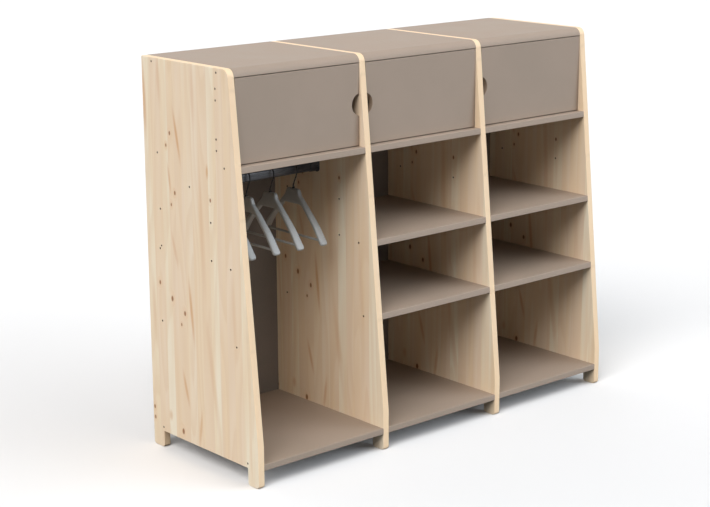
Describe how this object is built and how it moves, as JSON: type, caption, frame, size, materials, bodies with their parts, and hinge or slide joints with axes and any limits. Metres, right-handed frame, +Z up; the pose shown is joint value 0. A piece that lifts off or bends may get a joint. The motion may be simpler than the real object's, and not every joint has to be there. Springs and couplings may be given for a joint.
{
  "type": "children's wardrobe",
  "caption": "Low children's wardrobe with leaning front, pine sides, taupe boards, small cupboards with hinged doors, open shelves and a hanging bay with rail and hangers.",
  "frame": {"origin": "middle of the footprint, on the floor", "axes": "+X along the width, to the right seen from the front; -Y to the front, where the doors are; +Z up"},
  "size_m": [1.438, 0.514, 1.178],
  "materials": {
    "pine": "clear matt lacquer on solid pine",
    "taupe_lacquer": "satin taupe lacquer on board",
    "nickel_hinge": "nickel plated",
    "dark_steel": "satin dark coating",
    "black_wire": "black coated wire",
    "hanger_grey": "satin light grey"
  },
  "bodies": {
    "carcass": {"side_panel_1": "pine", "side_panel_2": "pine", "side_panel_3": "pine", "side_panel_4": "pine", "top_panel_1": "taupe_lacquer", "top_panel_2": "taupe_lacquer", "top_panel_3": "taupe_lacquer", "cupboard_floor_1": "taupe_lacquer", "cupboard_floor_2": "taupe_lacquer", "cupboard_floor_3": "taupe_lacquer", "bottom_panel_1": "taupe_lacquer", "bottom_panel_2": "taupe_lacquer", "bottom_panel_3": "taupe_lacquer", "back_panel_1": "taupe_lacquer", "back_panel_2": "taupe_lacquer", "back_panel_3": "taupe_lacquer", "lower_shelf_2": "taupe_lacquer", "upper_shelf_2": "taupe_lacquer", "lower_shelf_3": "taupe_lacquer", "upper_shelf_3": "taupe_lacquer", "hinge_arm_1_lower": "nickel_hinge", "hinge_arm_1_upper": "nickel_hinge", "hinge_arm_2_lower": "nickel_hinge", "hinge_arm_2_upper": "nickel_hinge", "hinge_arm_3_lower": "nickel_hinge", "hinge_arm_3_upper": "nickel_hinge", "clothes_rail": "dark_steel", "rail_socket_left": "dark_steel", "rail_socket_right": "dark_steel"},
    "door_1": {"door_1": "taupe_lacquer", "hinge_cup_1_lower": "nickel_hinge", "hinge_cup_1_upper": "nickel_hinge"},
    "door_2": {"door_2": "taupe_lacquer", "hinge_cup_2_lower": "nickel_hinge", "hinge_cup_2_upper": "nickel_hinge"},
    "door_3": {"door_3": "taupe_lacquer", "hinge_cup_3_lower": "nickel_hinge", "hinge_cup_3_upper": "nickel_hinge"},
    "door_1_links": {"hinge_link_1_lower": "nickel_hinge", "hinge_link_1_upper": "nickel_hinge"},
    "door_2_links": {"hinge_link_2_lower": "nickel_hinge", "hinge_link_2_upper": "nickel_hinge"},
    "door_3_links": {"hinge_link_3_lower": "nickel_hinge", "hinge_link_3_upper": "nickel_hinge"},
    "hook_1": {"hanger_hook_1": "black_wire"},
    "hook_2": {"hanger_hook_2": "black_wire"},
    "hook_3": {"hanger_hook_3": "black_wire"},
    "hook_4": {"hanger_hook_4": "black_wire"},
    "hanger_1": {"hanger_body_1": "hanger_grey", "hanger_bar_1": "hanger_grey"},
    "hanger_2": {"hanger_body_2": "hanger_grey", "hanger_bar_2": "hanger_grey"},
    "hanger_3": {"hanger_body_3": "hanger_grey", "hanger_bar_3": "hanger_grey"},
    "hanger_4": {"hanger_body_4": "hanger_grey", "hanger_bar_4": "hanger_grey"}
  },
  "joints": [
    {"name": "door_1_hinge", "type": "hinge", "parent": "carcass", "child": "door_1", "pos_m": [-0.6915, -0.15506, 1.03225], "axis": [0, 0, -1], "range_deg": [0, 90]},
    {"name": "door_2_hinge", "type": "hinge", "parent": "carcass", "child": "door_2", "pos_m": [0.2195, -0.15506, 1.03225], "axis": [0, 0, 1], "range_deg": [0, 90]},
    {"name": "door_3_hinge", "type": "hinge", "parent": "carcass", "child": "door_3", "pos_m": [0.6915, -0.15506, 1.03225], "axis": [0, 0, 1], "range_deg": [0, 90]},
    {"name": "door_1_links_turn", "type": "hinge", "parent": "carcass", "child": "door_1_links", "pos_m": [-0.661, -0.14456, 1.03225], "axis": [0, 0, -1], "range_deg": [-56, 0]},
    {"name": "door_2_links_turn", "type": "hinge", "parent": "carcass", "child": "door_2_links", "pos_m": [0.189, -0.14456, 1.03225], "axis": [0, 0, 1], "range_deg": [-56, 0]},
    {"name": "door_3_links_turn", "type": "hinge", "parent": "carcass", "child": "door_3_links", "pos_m": [0.661, -0.14456, 1.03225], "axis": [0, 0, 1], "range_deg": [-56, 0]},
    {"name": "hanger_1_slide", "type": "slide", "parent": "carcass", "child": "hook_1", "axis": [1, 0, 0], "range_m": [-0.055, 0.009]},
    {"name": "hanger_2_slide", "type": "slide", "parent": "carcass", "child": "hook_2", "axis": [1, 0, 0], "range_m": [-0.009, 0.009]},
    {"name": "hanger_3_slide", "type": "slide", "parent": "carcass", "child": "hook_3", "axis": [1, 0, 0], "range_m": [-0.009, 0.009]},
    {"name": "hanger_4_slide", "type": "slide", "parent": "carcass", "child": "hook_4", "axis": [1, 0, 0], "range_m": [-0.009, 0.055]},
    {"name": "hanger_1_swivel", "type": "hinge", "parent": "hook_1", "child": "hanger_1", "pos_m": [-0.604, 0.0385, 0.7705], "axis": [0, 0, 1], "range_deg": [-8, 8]},
    {"name": "hanger_2_swivel", "type": "hinge", "parent": "hook_2", "child": "hanger_2", "pos_m": [-0.516, 0.0385, 0.7705], "axis": [0, 0, 1], "range_deg": [-8, 8]},
    {"name": "hanger_3_swivel", "type": "hinge", "parent": "hook_3", "child": "hanger_3", "pos_m": [-0.428, 0.0385, 0.7705], "axis": [0, 0, 1], "range_deg": [-8, 8]},
    {"name": "hanger_4_swivel", "type": "hinge", "parent": "hook_4", "child": "hanger_4", "pos_m": [-0.34, 0.0385, 0.7705], "axis": [0, 0, 1], "range_deg": [-8, 8]}
  ],
  "couplings": [
    {"joint": "door_1_links_turn", "follows": "door_1_hinge", "ratio": -0.62},
    {"joint": "door_2_links_turn", "follows": "door_2_hinge", "ratio": -0.62},
    {"joint": "door_3_links_turn", "follows": "door_3_hinge", "ratio": -0.62}
  ]
}
